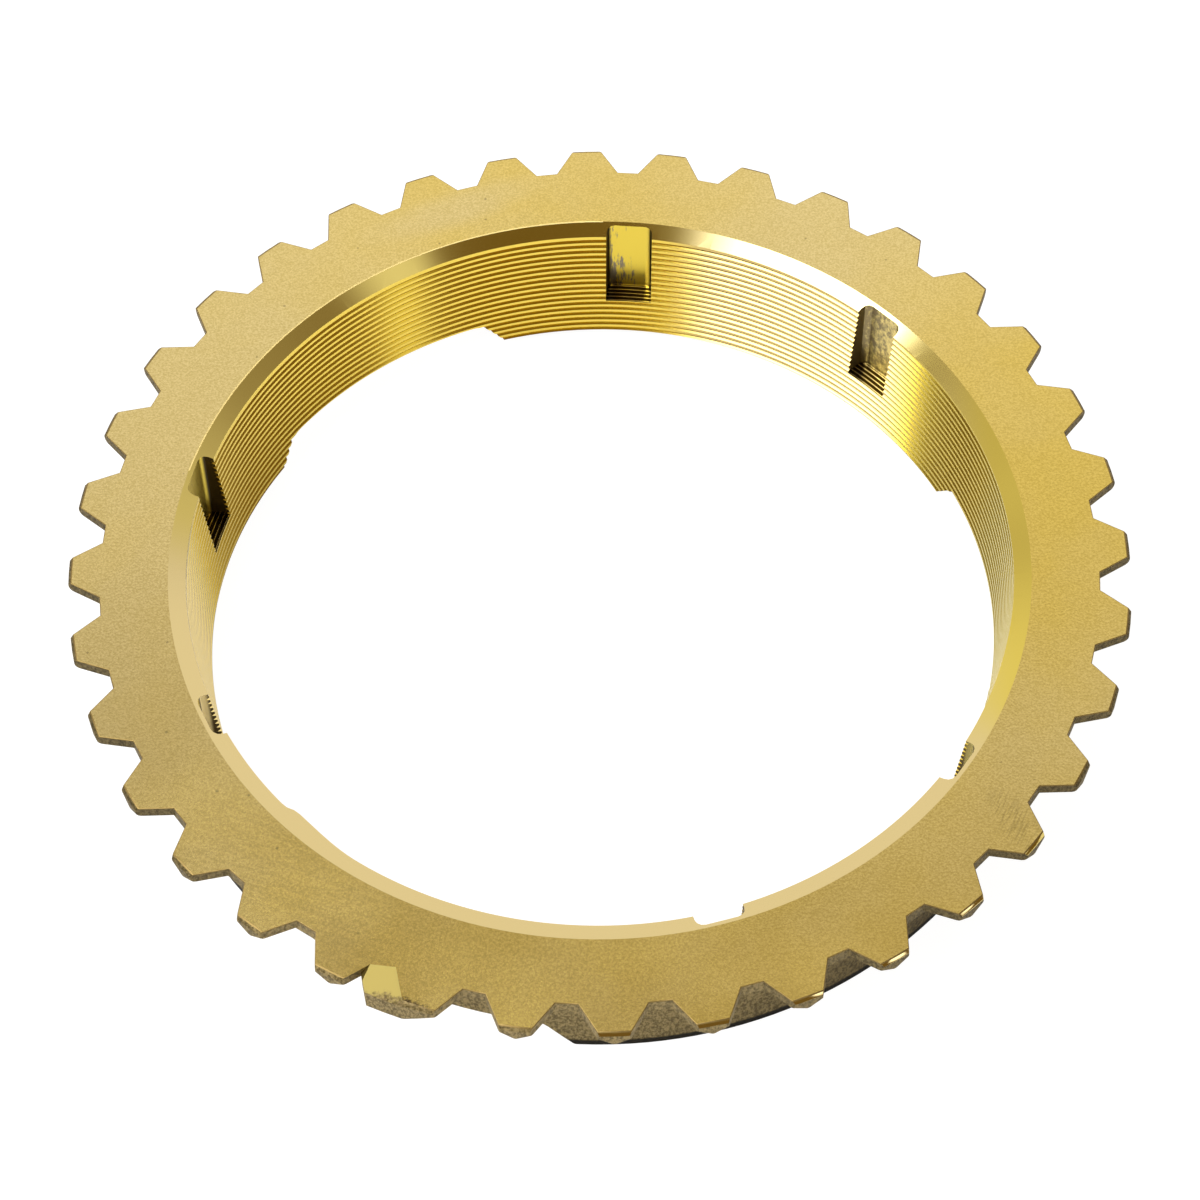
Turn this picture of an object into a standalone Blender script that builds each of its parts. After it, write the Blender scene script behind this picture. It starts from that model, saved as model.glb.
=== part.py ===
"""Synchronizer ring: a brass friction ring for a manual gearbox, modelled as one solid.

The ring is built the way it is made. A blank is turned, pointed dog teeth are cut
round its flange, one tooth space is left as an index block, key notches are milled
in the rim that faces the hub, and oil slots are cut in the friction cone.

Frame: Z is the axis of the ring. The rim that faces the hub stands on Z = 0, and
the flat gear side is on top. Angles run counter-clockwise from +X, seen from above.
"""

import math

import bmesh
import bpy
from mathutils import Matrix, Vector

MM = 0.001

# Turned blank
HEIGHT = 11.5 * MM
TIP_RADIUS = 37.0 * MM
TIP_CHAMFER = 0.22 * MM
FLANGE_THICKNESS = 2.4 * MM
FLANGE_STEP = 2.7 * MM
BODY_FILLET = 0.4 * MM
RIM_EDGE_RADIUS = 0.4 * MM

# Bore, from the gear side down
MOUTH_WALL = 2.05 * MM
MOUTH_CHAMFER_WIDTH = 1.22 * MM
MOUTH_CHAMFER_DEPTH = 0.35 * MM
CONE_HALF_ANGLE = math.radians(5.4)
RIM_CHAMFER_WIDTH = 1.1 * MM
RIM_CHAMFER_DEPTH = 1.2 * MM

# Dog teeth
TOOTH_COUNT = 36
TOOTH_DEPTH = 2.2 * MM
SPACE_ROOT_WIDTH = 1.5 * MM
TOOTH_FLANK_ANGLE = math.radians(30.0)
FLANK_HEIGHT = 0.9 * MM
ROOF_ANGLE = math.radians(34.0)
ROOT_WALL_STEP = 0.3 * MM
SPACE_END_GAP = 0.1 * MM

# Index block, which fills all of one tooth space but a narrow gap
INDEX_SPACE = 24
INDEX_GAP_DEPTH = 1.28 * MM
INDEX_LAND = 0.6 * MM
INDEX_ROOT_LAND = 0.15 * MM
INDEX_SLOPE = math.radians(9.0)
INDEX_CORNER_DROP = 0.55 * MM

# Key notches in the rim that faces the hub
NOTCH_COUNT = 3
NOTCH_ANGLE = math.radians(4.64)
NOTCH_FLOOR_WIDTH = 17.6 * MM
NOTCH_DEPTH = 3.22 * MM
NOTCH_SIDE_ANGLE = math.radians(53.0)
NOTCH_DRAFT = math.radians(10.3)
NOTCH_FILLET = 1.5 * MM

# Oil slots in the friction cone, in pairs
SLOT_PAIRS = 3
SLOT_PAIR_ANGLE = math.radians(64.15)
SLOT_SPREAD = math.radians(40.0)
SLOT_WIDTH = 3.4 * MM
SLOT_CUT = 0.91 * MM
SLOT_DEPTH = 7.15 * MM
SLOT_FILLET = 0.6 * MM

# Radii, from the tooth tips inwards
ROOT_RADIUS = TIP_RADIUS - TOOTH_DEPTH
BODY_RADIUS = ROOT_RADIUS - FLANGE_STEP
MOUTH_RADIUS = BODY_RADIUS - MOUTH_WALL
CONE_TOP_RADIUS = MOUTH_RADIUS - MOUTH_CHAMFER_WIDTH
SLOT_BACK_RADIUS = CONE_TOP_RADIUS + SLOT_CUT

# Facets and the margin by which a cutter passes a face
SEGMENTS = 180
ARC_STEPS = 4
MARGIN = 1.0 * MM
WELD = 0.001 * MM

BRASS_COLOUR = (0.63, 0.46, 0.15, 1.0)
BRASS_ROUGHNESS = 0.35


def clear_scene():
    for item in list(bpy.data.objects):
        bpy.data.objects.remove(item, do_unlink=True)


def new_collection(name):
    collection = bpy.data.collections.new(name)
    bpy.context.scene.collection.children.link(collection)
    return collection


def new_object(name, mesh, collection):
    item = bpy.data.objects.new(name, mesh)
    collection.objects.link(item)
    return item


def brass():
    material = bpy.data.materials.new("brass")
    material.use_nodes = True
    shader = material.node_tree.nodes["Principled BSDF"]
    shader.inputs["Base Color"].default_value = BRASS_COLOUR
    shader.inputs["Metallic"].default_value = 1.0
    shader.inputs["Roughness"].default_value = BRASS_ROUGHNESS
    return material


def arc(centre, radius, start, end, steps):
    """Points of an arc in a plane, with both ends."""
    points = []
    for step in range(steps + 1):
        angle = start + (end - start) * step / steps
        points.append((centre[0] + radius * math.cos(angle), centre[1] + radius * math.sin(angle)))
    return points


def blank_profile():
    """Half section of the turned blank as (radius, height), down its outside and up its bore."""
    flange_bottom = HEIGHT - FLANGE_THICKNESS
    cone_length = HEIGHT - MOUTH_CHAMFER_DEPTH - RIM_CHAMFER_DEPTH
    cone_bottom_radius = CONE_TOP_RADIUS - cone_length * math.tan(CONE_HALF_ANGLE)

    profile = [
        (MOUTH_RADIUS, HEIGHT),
        (TIP_RADIUS - TIP_CHAMFER, HEIGHT),
        (TIP_RADIUS, HEIGHT - TIP_CHAMFER),
        (TIP_RADIUS, flange_bottom),
    ]
    fillet_centre = (BODY_RADIUS + BODY_FILLET, flange_bottom - BODY_FILLET)
    profile += arc(fillet_centre, BODY_FILLET, math.pi / 2, math.pi, ARC_STEPS - 1)
    edge_centre = (BODY_RADIUS - RIM_EDGE_RADIUS, RIM_EDGE_RADIUS)
    profile += arc(edge_centre, RIM_EDGE_RADIUS, 0.0, -math.pi / 2, ARC_STEPS - 1)
    profile += [
        (cone_bottom_radius + RIM_CHAMFER_WIDTH, 0.0),
        (cone_bottom_radius, RIM_CHAMFER_DEPTH),
        (CONE_TOP_RADIUS, HEIGHT - MOUTH_CHAMFER_DEPTH),
    ]
    return profile


def turned_blank(collection):
    """The blank: its half section, turned round Z."""
    profile = blank_profile()
    points = [(radius, 0.0, height) for radius, height in profile]
    edges = [(i, (i + 1) % len(points)) for i in range(len(points))]
    mesh = bpy.data.meshes.new("synchronizer_ring")
    mesh.from_pydata(points, edges, [])
    ring = new_object("synchronizer_ring", mesh, collection)

    screw = ring.modifiers.new("turn", "SCREW")
    screw.axis = "Z"
    screw.angle = 2 * math.pi
    screw.steps = SEGMENTS
    screw.render_steps = SEGMENTS
    screw.use_merge_vertices = True
    screw.merge_threshold = 0.00001
    screw.use_smooth_shade = False
    return ring


def solid_from_faces(name, points, faces):
    """A small closed mesh with its faces turned outwards."""
    shape = bmesh.new()
    corners = [shape.verts.new(point) for point in points]
    for face in faces:
        shape.faces.new([corners[i] for i in face])
    bmesh.ops.recalc_face_normals(shape, faces=shape.faces)
    mesh = bpy.data.meshes.new(name)
    shape.to_mesh(mesh)
    shape.free()
    return mesh


def cutter(name, placed, collection):
    """One cutter object that holds each given mesh, turned round Z by its angle."""
    shape = bmesh.new()
    for mesh, angle in placed:
        part = mesh.copy()
        part.transform(Matrix.Rotation(angle, 4, "Z"))
        shape.from_mesh(part)
        bpy.data.meshes.remove(part)
    mesh = bpy.data.meshes.new(name)
    shape.to_mesh(mesh)
    shape.free()
    item = new_object(name, mesh, collection)
    item.hide_render = True
    item.display_type = "WIRE"
    return item


def cut(target, tool):
    """Takes a cutter out of the target."""
    boolean = target.modifiers.new(tool.name, "BOOLEAN")
    boolean.operation = "DIFFERENCE"
    boolean.solver = "EXACT"
    boolean.object = tool


class ToothSpace:
    """Sizes of one tooth space, with X along its middle and Y across it."""

    def __init__(self):
        self.pitch = 2 * math.pi / TOOTH_COUNT
        self.spread = math.tan(TOOTH_FLANK_ANGLE + self.pitch / 2)
        self.slope = math.tan(ROOF_ANGLE)
        self.root = math.sqrt(ROOT_RADIUS**2 - (SPACE_ROOT_WIDTH / 2) ** 2)
        self.outside = TIP_RADIUS + MARGIN
        self.top = HEIGHT + MARGIN
        self.flank_foot = HEIGHT - FLANK_HEIGHT
        self.wall_foot = self.flank_foot - ROOT_WALL_STEP
        self.bottom = HEIGHT - FLANGE_THICKNESS - MARGIN
        self.apex = self.root - self.roof_width(self.root, self.wall_foot) / self.spread
        self.end = self.apex - SPACE_END_GAP

    def half_width(self, x):
        """Half the space between the flanks. Inside the root it is the flanks' overlap, below zero."""
        return SPACE_ROOT_WIDTH / 2 + self.spread * (x - self.root)

    def roof_height(self, x, y):
        """Height of the pointed underside of the tooth, at a distance y from the middle."""
        return self.flank_foot - self.slope * (abs(y) - self.half_width(x))

    def roof_width(self, x, height):
        """Distance from the middle at which the pointed underside comes down to a height."""
        return self.half_width(x) + (self.flank_foot - height) / self.slope


def space_cutter(space):
    """Cuts one tooth space: its root wall, two upright flanks and, below them, half of both teeth's points."""
    root_y = SPACE_ROOT_WIDTH / 2
    wall_y = space.roof_width(space.root, space.wall_foot)
    outside_y = space.half_width(space.outside)
    end_y = space.roof_width(space.end, space.bottom)
    bottom_y = space.roof_width(space.outside, space.bottom)
    points = [
        (space.root, -root_y, space.top),
        (space.root, root_y, space.top),
        (space.outside, outside_y, space.top),
        (space.outside, -outside_y, space.top),
        (space.root, -root_y, space.flank_foot),
        (space.root, root_y, space.flank_foot),
        (space.outside, outside_y, space.flank_foot),
        (space.outside, -outside_y, space.flank_foot),
        (space.root, -wall_y, space.wall_foot),
        (space.root, wall_y, space.wall_foot),
        (space.apex, 0.0, space.wall_foot),
        (space.end, 0.0, space.roof_height(space.end, 0.0)),
        (space.end, -end_y, space.bottom),
        (space.end, end_y, space.bottom),
        (space.outside, bottom_y, space.bottom),
        (space.outside, -bottom_y, space.bottom),
    ]
    faces = [
        (0, 1, 2, 3),
        (0, 4, 8, 9, 5, 1),
        (1, 5, 6, 2),
        (3, 7, 4, 0),
        (8, 10, 9),
        (5, 9, 10, 11, 13, 14, 6),
        (4, 7, 15, 12, 11, 10, 8),
        (11, 12, 13),
        (12, 15, 14, 13),
        (2, 6, 14, 15, 7, 3),
    ]
    return solid_from_faces("tooth_space", points, faces)


def index_gap_corner(space):
    """Plan position of the corner where the index block meets the flank of the tooth before it."""
    x = TIP_RADIUS - INDEX_GAP_DEPTH
    return x, -space.half_width(x)


def index_space_cutter(space):
    """Cuts the V-shaped gap between the index block and the tooth before it, with half that tooth's point."""
    corner_x, corner_y = index_gap_corner(space)
    flank_y = -space.half_width(space.outside)
    block_y = 2 * corner_y - flank_y
    points = [
        (corner_x, corner_y, space.top),
        (space.outside, flank_y, space.top),
        (space.outside, block_y, space.top),
        (corner_x, corner_y, space.flank_foot),
        (space.outside, flank_y, space.flank_foot),
        (space.outside, block_y, space.bottom),
        (space.outside, -space.roof_width(space.outside, space.bottom), space.bottom),
        (space.end, -space.roof_width(space.end, space.bottom), space.bottom),
        (space.end, corner_y, space.bottom),
        (space.end, corner_y, space.roof_height(space.end, corner_y)),
        (corner_x, corner_y, space.bottom),
    ]
    faces = [
        (0, 1, 2),
        (0, 3, 4, 1),
        (0, 2, 5, 10, 3),
        (3, 10, 8, 9),
        (3, 9, 7, 6, 4),
        (7, 9, 8),
        (5, 6, 7, 8, 10),
        (1, 4, 6, 5, 2),
    ]
    return solid_from_faces("index_space", points, faces)


def index_slope_cutter(space):
    """Slopes the top of the index block outwards from the gear side, and its corner down into the gap."""
    gap_x, gap_y = index_gap_corner(space)
    left_x = gap_x - INDEX_LAND
    right_x = space.root - INDEX_ROOT_LAND
    left = Vector((left_x, -space.half_width(left_x)))
    right = Vector((right_x, space.half_width(right_x)))
    outwards = Vector((right.y - left.y, left.x - right.x)).normalized()

    def slope_height(x, y):
        return HEIGHT - math.tan(INDEX_SLOPE) * (Vector((x, y)) - left).dot(outwards)

    inner_left = (left_x - INDEX_LAND, -space.half_width(left_x - INDEX_LAND))
    inner_right = (right_x - INDEX_LAND, space.half_width(right_x - INDEX_LAND))
    outside_left = (space.outside, left.y)
    outside_right = (space.outside, space.half_width(space.outside))
    fall = INDEX_CORNER_DROP / (left.y - gap_y)
    low_height = slope_height(space.outside, gap_y) - fall * (left.y - gap_y)
    points = [
        (*inner_left, slope_height(*inner_left)),
        (*left, slope_height(*left)),
        (gap_x, gap_y, slope_height(gap_x, gap_y) - INDEX_CORNER_DROP),
        (space.outside, gap_y, low_height),
        (*outside_left, slope_height(*outside_left)),
        (*outside_right, slope_height(*outside_right)),
        (*inner_right, slope_height(*inner_right)),
        (*inner_left, space.top),
        (gap_x, gap_y, space.top),
        (space.outside, gap_y, space.top),
        (*outside_right, space.top),
        (*inner_right, space.top),
    ]
    faces = [
        (0, 1, 4, 5, 6),
        (1, 2, 3, 4),
        (7, 8, 9, 10, 11),
        (0, 7, 8, 2, 1),
        (2, 8, 9, 3),
        (3, 9, 10, 5, 4),
        (5, 10, 11, 6),
        (6, 11, 7, 0),
    ]
    return solid_from_faces("index_slope", points, faces)


def cut_teeth(ring, cutters):
    """Cuts the tooth spaces in two passes, so that no two cutters of a pass overlap."""
    space = ToothSpace()
    regular = space_cutter(space)
    indexed = index_space_cutter(space)
    for parity, name in enumerate(("even_spaces", "odd_spaces")):
        placed = []
        for number in range(parity, TOOTH_COUNT, 2):
            mesh = indexed if number == INDEX_SPACE % TOOTH_COUNT else regular
            placed.append((mesh, (number + 0.5) * space.pitch))
        cut(ring, cutter(name, placed, cutters))

    slope_angle = (INDEX_SPACE + 0.5) * space.pitch
    cut(ring, cutter("index_slope", [(index_slope_cutter(space), slope_angle)], cutters))


def notch_outline():
    """Right half of a key notch, seen along the radius, as (half width, height) from the floor down."""
    floor = NOTCH_DEPTH
    corner = NOTCH_FLOOR_WIDTH / 2
    tangent = NOTCH_FILLET * math.tan(NOTCH_SIDE_ANGLE / 2)
    centre = (corner - tangent, floor - NOTCH_FILLET)
    outline = arc(centre, NOTCH_FILLET, math.pi / 2, math.pi / 2 - NOTCH_SIDE_ANGLE, ARC_STEPS)
    drop = floor + MARGIN
    outline.append((corner + drop / math.tan(NOTCH_SIDE_ANGLE), -MARGIN))
    return outline


def notch_cutter():
    """One key notch: its outline drawn along the radius, with a little draft on its sides."""
    half = notch_outline()
    outline = [(width, height, 1.0) for width, height in half]
    outline += [(-width, height, -1.0) for width, height in reversed(half)]
    inner_x = CONE_TOP_RADIUS * 0.75
    drawn_from = CONE_TOP_RADIUS - (HEIGHT - NOTCH_DEPTH) * math.tan(CONE_HALF_ANGLE)
    points = []
    for x in (inner_x, TIP_RADIUS):
        widening = math.tan(NOTCH_DRAFT) * (x - drawn_from)
        points += [(x, y + side * widening, height) for y, height, side in outline]
    count = len(outline)
    faces = [tuple(range(count)), tuple(range(count, 2 * count))]
    for i in range(count):
        following = (i + 1) % count
        faces.append((i, following, count + following, count + i))
    return solid_from_faces("key_notch", points, faces)


def cut_key_notches(ring, cutters):
    mesh = notch_cutter()
    placed = [(mesh, NOTCH_ANGLE + 2 * math.pi * i / NOTCH_COUNT) for i in range(NOTCH_COUNT)]
    cut(ring, cutter("key_notches", placed, cutters))


def slot_cutter():
    """One oil slot: a box, open to the bore and upwards, with rounded corners at its back."""
    inner_x = SLOT_BACK_RADIUS * 0.75
    low = HEIGHT - SLOT_DEPTH
    high = HEIGHT + MARGIN
    shape = bmesh.new()
    bmesh.ops.create_cube(shape, size=1.0)
    bmesh.ops.scale(shape, vec=Vector((SLOT_BACK_RADIUS - inner_x, SLOT_WIDTH, high - low)), verts=shape.verts)
    middle = Vector(((SLOT_BACK_RADIUS + inner_x) / 2, 0.0, (high + low) / 2))
    bmesh.ops.translate(shape, vec=middle, verts=shape.verts)
    back_corners = [
        edge
        for edge in shape.edges
        if all(vert.co.x > middle.x for vert in edge.verts)
        and abs(edge.verts[0].co.z - edge.verts[1].co.z) > MARGIN / 2
    ]
    bmesh.ops.bevel(
        shape, geom=back_corners, offset=SLOT_FILLET, segments=ARC_STEPS - 1, profile=0.5, affect="EDGES"
    )
    mesh = bpy.data.meshes.new("oil_slot")
    shape.to_mesh(mesh)
    shape.free()
    return mesh


def cut_oil_slots(ring, cutters):
    mesh = slot_cutter()
    placed = []
    for pair in range(SLOT_PAIRS):
        middle = SLOT_PAIR_ANGLE + 2 * math.pi * pair / SLOT_PAIRS
        for side in (-1, 1):
            placed.append((mesh, middle + side * SLOT_SPREAD / 2))
    cut(ring, cutter("oil_slots", placed, cutters))


def finish(ring):
    """Makes one welded mesh of the cuts, smooth on the round faces and sharp where they meet."""
    depsgraph = bpy.context.evaluated_depsgraph_get()
    finished = bpy.data.meshes.new_from_object(ring.evaluated_get(depsgraph))
    finished.name = "synchronizer_ring"
    shape = bmesh.new()
    shape.from_mesh(finished)
    bmesh.ops.remove_doubles(shape, verts=shape.verts, dist=WELD)
    shape.to_mesh(finished)
    shape.free()
    ring.modifiers.clear()
    ring.data = finished
    finished.shade_smooth()
    finished.set_sharp_from_angle(angle=math.radians(20.0))


def main():
    clear_scene()
    parts = new_collection("synchronizer_ring")
    cutters = new_collection("cutters")
    ring = turned_blank(parts)
    cut_teeth(ring, cutters)
    cut_key_notches(ring, cutters)
    cut_oil_slots(ring, cutters)
    finish(ring)
    ring.data.materials.clear()
    ring.data.materials.append(brass())


main()
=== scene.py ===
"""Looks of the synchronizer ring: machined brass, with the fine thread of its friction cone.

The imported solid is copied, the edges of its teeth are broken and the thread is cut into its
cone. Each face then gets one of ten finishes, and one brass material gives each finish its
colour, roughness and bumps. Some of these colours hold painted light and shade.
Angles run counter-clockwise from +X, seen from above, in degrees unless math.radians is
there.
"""

import math

import bmesh
import bpy
import numpy as np
from mathutils import Matrix, Vector


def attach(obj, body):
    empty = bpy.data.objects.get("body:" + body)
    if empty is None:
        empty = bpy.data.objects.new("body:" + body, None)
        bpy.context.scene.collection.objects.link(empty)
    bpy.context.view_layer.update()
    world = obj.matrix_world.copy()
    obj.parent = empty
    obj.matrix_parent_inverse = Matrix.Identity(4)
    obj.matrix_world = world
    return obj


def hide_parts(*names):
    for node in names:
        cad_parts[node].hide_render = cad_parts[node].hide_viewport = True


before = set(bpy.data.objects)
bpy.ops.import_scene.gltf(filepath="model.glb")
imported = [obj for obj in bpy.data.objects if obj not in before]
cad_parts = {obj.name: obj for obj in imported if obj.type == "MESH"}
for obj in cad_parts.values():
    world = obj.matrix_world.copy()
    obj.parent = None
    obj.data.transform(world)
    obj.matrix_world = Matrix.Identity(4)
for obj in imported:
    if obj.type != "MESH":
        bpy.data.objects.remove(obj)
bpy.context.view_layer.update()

MM = 0.001

# Sizes of the solid that the thread and the finishes are placed by
HEIGHT = 11.5 * MM
TIP_RADIUS = 37.0 * MM
ROOT_RADIUS = 34.8 * MM
MOUTH_RADIUS = 30.05 * MM
CONE_TOP_RADIUS = 28.83 * MM
MOUTH_CHAMFER_DEPTH = 0.35 * MM
CONE_HALF_ANGLE = math.radians(5.4)
TIP_CHAMFER = 0.22 * MM
FLANK_HEIGHT = 0.9 * MM
CONE_TOP = HEIGHT - MOUTH_CHAMFER_DEPTH

# Places round the ring
SLOT_ANGLES = np.array([44.15, 84.15, 164.15, 204.15, 284.15, 324.15])
INDEX_FROM, INDEX_TO = 242.3, 248.5
MILLED_FROM, MILLED_TO = 265.0, 325.0
MOUTH_LINE_FROM, MOUTH_LINE_TO = 86.0, 165.0


def cone_radius(z):
    return CONE_TOP_RADIUS - (CONE_TOP - z) * math.tan(CONE_HALF_ANGLE)


def smoothstep(x):
    x = min(max(x, 0.0), 1.0)
    return x * x * (3.0 - 2.0 * x)


def angle_of(place):
    return math.degrees(math.atan2(place.y, place.x)) % 360.0


# Clean copy of the solid: points this near are one point, and faces this flat are one face
SAME_POINT = 0.002 * MM
SAME_PLANE = math.radians(0.3)


def plain_copy(node):
    """The node's solid as one clean bmesh, with flat faces joined."""
    source = node.data
    shape = bmesh.new()
    corners = [shape.verts.new(v.co) for v in source.vertices]
    for polygon in source.polygons:
        shape.faces.new([corners[i] for i in polygon.vertices])
    bmesh.ops.remove_doubles(shape, verts=shape.verts, dist=SAME_POINT)
    bmesh.ops.dissolve_limit(
        shape, angle_limit=SAME_PLANE, verts=shape.verts, edges=shape.edges, delimit=set()
    )
    return shape


# Edges: the break of the sharp ones, and the rounding of the teeth's points and of the mouth
EDGE_BREAK = 0.06 * MM
POINT_ROUND = 0.32 * MM
MOUTH_ROUND = 0.05 * MM
SHARP_ANGLE = math.radians(25.0)
KEEL_SLOPE = -0.5

# How near to a size of the solid an edge or a face still counts as being there
TOUCH = 0.01 * MM
NEAR = 0.1 * MM
NEAR_MOUTH = 0.05 * MM


def round_edges(shape, chosen, width, segments):
    edges = [edge for edge in shape.edges if len(edge.link_faces) == 2 and edge.is_convex and chosen(edge)]
    bmesh.ops.bevel(
        shape, geom=edges, offset=width, segments=segments, profile=0.5, affect="EDGES", clamp_overlap=False
    )


def middle_of(edge):
    return (edge.verts[0].co + edge.verts[1].co) / 2


def on_tooth(edge):
    return edge.calc_face_angle() > SHARP_ANGLE and middle_of(edge).xy.length > ROOT_RADIUS - NEAR


def on_point(edge):
    """The keel of a tooth's pointed underside, and the edges that it has at the tip."""
    low = all(end.co.z < HEIGHT - FLANK_HEIGHT + TOUCH for end in edge.verts)
    at_tip = all(end.co.xy.length > TIP_RADIUS - NEAR for end in edge.verts)
    keel = all(face.normal.z < KEEL_SLOPE for face in edge.link_faces)
    return on_tooth(edge) and low and (at_tip or keel)


def on_rim(edge):
    """The top edges of the teeth and of their spaces, but not of the index block's sloping top."""
    high = all(end.co.z > HEIGHT - TIP_CHAMFER - TOUCH for end in edge.verts)
    return on_tooth(edge) and high and not INDEX_FROM < angle_of(middle_of(edge)) < INDEX_TO


def on_mouth(edge):
    """The edge between the gear side and the mouth's chamfer, where it catches the light."""
    return all(
        abs(end.co.xy.length - MOUTH_RADIUS) < NEAR_MOUTH
        and end.co.z > HEIGHT - TOUCH
        and MOUTH_LINE_FROM < angle_of(end.co) < MOUTH_LINE_TO
        for end in edge.verts
    )


# Thread in the cone: single start, left-hand. At CREST_ANGLE the middle of a crest lies CREST_DROP
# under the gear side. The tap also takes THREAD_LIFT off the crests, and its thread fades in under
# the chamfer. The profile is height in mm and share of the depth, over one pitch.
THREAD_PITCH = 0.55 * MM
THREAD_DEPTH = 0.24 * MM
THREAD_LIFT = 0.015 * MM
THREAD_COLUMNS = 360
THREAD_FADE = 0.3 * MM
CREST_ANGLE = math.radians(98.0)
CREST_DROP = 0.533 * MM
THREAD_PROFILE = ((-0.11, 0.0), (0.11, 0.0), (0.26, 1.0), (0.29, 1.0))

# The plug that cuts the thread reaches past both faces of the ring
TURNS_BELOW = 3
TURNS_ABOVE = 4
PLUG_FOOT = -4.0 * MM
PLUG_TOP = HEIGHT + 3.0 * MM


def thread_lines():
    """Height at CREST_ANGLE and depth of each line of the thread, from the lowest one up."""
    turns = int(HEIGHT / THREAD_PITCH)
    first = HEIGHT - CREST_DROP - THREAD_PITCH * turns
    return [
        (first + turn * THREAD_PITCH + offset * MM, depth)
        for turn in range(-TURNS_BELOW, turns + TURNS_ABOVE)
        for offset, depth in THREAD_PROFILE
    ]


def plug_points(lines):
    """The thread's lines column by column, then a ring of points at the foot and one at the top."""
    angles = [2 * math.pi * column / THREAD_COLUMNS for column in range(THREAD_COLUMNS)]
    points = []
    for angle in angles:
        fall = THREAD_PITCH * (angle - CREST_ANGLE) / (2 * math.pi)
        for height, depth in lines:
            z = height - fall
            fade = smoothstep((CONE_TOP - z) / THREAD_FADE)
            radius = cone_radius(z) + THREAD_LIFT + THREAD_DEPTH * depth * fade
            points.append((radius * math.cos(angle), radius * math.sin(angle), z))
    for z in (PLUG_FOOT, PLUG_TOP):
        radius = cone_radius(z)
        points.extend((radius * math.cos(angle), radius * math.sin(angle), z) for angle in angles)
    return points


def plug_faces(rows):
    """Faces between the columns and at the two ends. The last column meets the first a turn lower."""
    turn = len(THREAD_PROFILE)
    last = (THREAD_COLUMNS - 1) * rows
    foot = THREAD_COLUMNS * rows
    top = foot + THREAD_COLUMNS
    foot_end = foot + THREAD_COLUMNS - 1
    top_end = top + THREAD_COLUMNS - 1
    faces = []
    for column in range(THREAD_COLUMNS - 1):
        a, b = column * rows, (column + 1) * rows
        faces.extend((a + k, b + k, b + k + 1, a + k + 1) for k in range(rows - 1))
        faces.append((foot + column, foot + column + 1, b, a))
        faces.append((a + rows - 1, b + rows - 1, top + column + 1, top + column))
    faces.extend((last + k, k - turn, k - turn + 1, last + k + 1) for k in range(turn, rows - 1))
    faces.append((foot_end, foot, 0, *range(last + turn, last - 1, -1)))
    faces.append((last + rows - 1, *range(rows - 1 - turn, rows), top, top_end))
    faces.append(tuple(range(foot_end, foot - 1, -1)))
    faces.append(tuple(range(top, top_end + 1)))
    return faces


def thread_plug():
    """A closed plug with the thread round it, as the tap that cuts the cone."""
    lines = thread_lines()
    mesh = bpy.data.meshes.new("thread_plug")
    mesh.from_pydata(plug_points(lines), [], plug_faces(len(lines)))
    shape = bmesh.new()
    shape.from_mesh(mesh)
    bmesh.ops.recalc_face_normals(shape, faces=shape.faces)
    shape.to_mesh(mesh)
    shape.free()
    return mesh


def threaded_ring():
    """The clean copy with its edges broken, and the thread cut into its cone."""
    shape = plain_copy(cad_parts["synchronizer_ring"])
    round_edges(shape, on_point, POINT_ROUND, 3)
    round_edges(shape, on_rim, EDGE_BREAK, 2)
    round_edges(shape, on_mouth, MOUTH_ROUND, 1)
    mesh = bpy.data.meshes.new("brass_ring")
    shape.to_mesh(mesh)
    shape.free()
    ring = bpy.data.objects.new("brass_ring", mesh)
    bpy.context.scene.collection.objects.link(ring)
    tap = bpy.data.objects.new("tap", thread_plug())
    bpy.context.scene.collection.objects.link(tap)
    cut = ring.modifiers.new("thread", "BOOLEAN")
    cut.operation = "DIFFERENCE"
    cut.solver = "EXACT"
    cut.object = tap
    depsgraph = bpy.context.evaluated_depsgraph_get()
    finished = bpy.data.meshes.new_from_object(ring.evaluated_get(depsgraph))
    ring.modifiers.clear()
    ring.data = finished
    finished.name = "brass_ring"
    bpy.data.objects.remove(tap)
    return ring


# Start of the thread at the mouth: a short swelling of the chamfer's inner edge
LIP_START = 221.5
LIP_PEAK = 223.6
LIP_END = 234.5
LIP_HEIGHT = 0.31 * MM
LIP_REACH = 0.4 * MM
LIP_BAND = 0.3 * MM


def lip(angle):
    """The share of the lip's height at an angle."""
    if LIP_START < angle <= LIP_PEAK:
        return smoothstep((angle - LIP_START) / (LIP_PEAK - LIP_START))
    if LIP_PEAK < angle < LIP_END:
        return smoothstep((LIP_END - angle) / (LIP_END - LIP_PEAK))
    return 0.0


def swell_lip(mesh):
    """Moves the inner edge of the mouth inwards along the lip."""
    for vert in mesh.vertices:
        x, y, z = vert.co
        radius = math.hypot(x, y)
        if radius > CONE_TOP_RADIUS + LIP_BAND or z < CONE_TOP - LIP_REACH:
            continue
        fade = smoothstep(1.0 - (CONE_TOP - z) / LIP_REACH)
        move = LIP_HEIGHT * lip(angle_of(vert.co)) * fade
        if move:
            scale = (radius - move) / radius
            vert.co = (x * scale, y * scale, z)


# The finishes of the faces. The ground gear side has a roughness of its own.
ROUGHNESS = {
    "edge": 0.5,
    "mouth_line": 0.4,
    "turned": 0.09,
    "thread": 0.16,
    "slot": 0.3,
    "recess": 0.5,
    "ledge": 0.3,
    "index": 0.5,
    "forged": 0.6,
}
FINISHES = ("ground", *ROUGHNESS)

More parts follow.
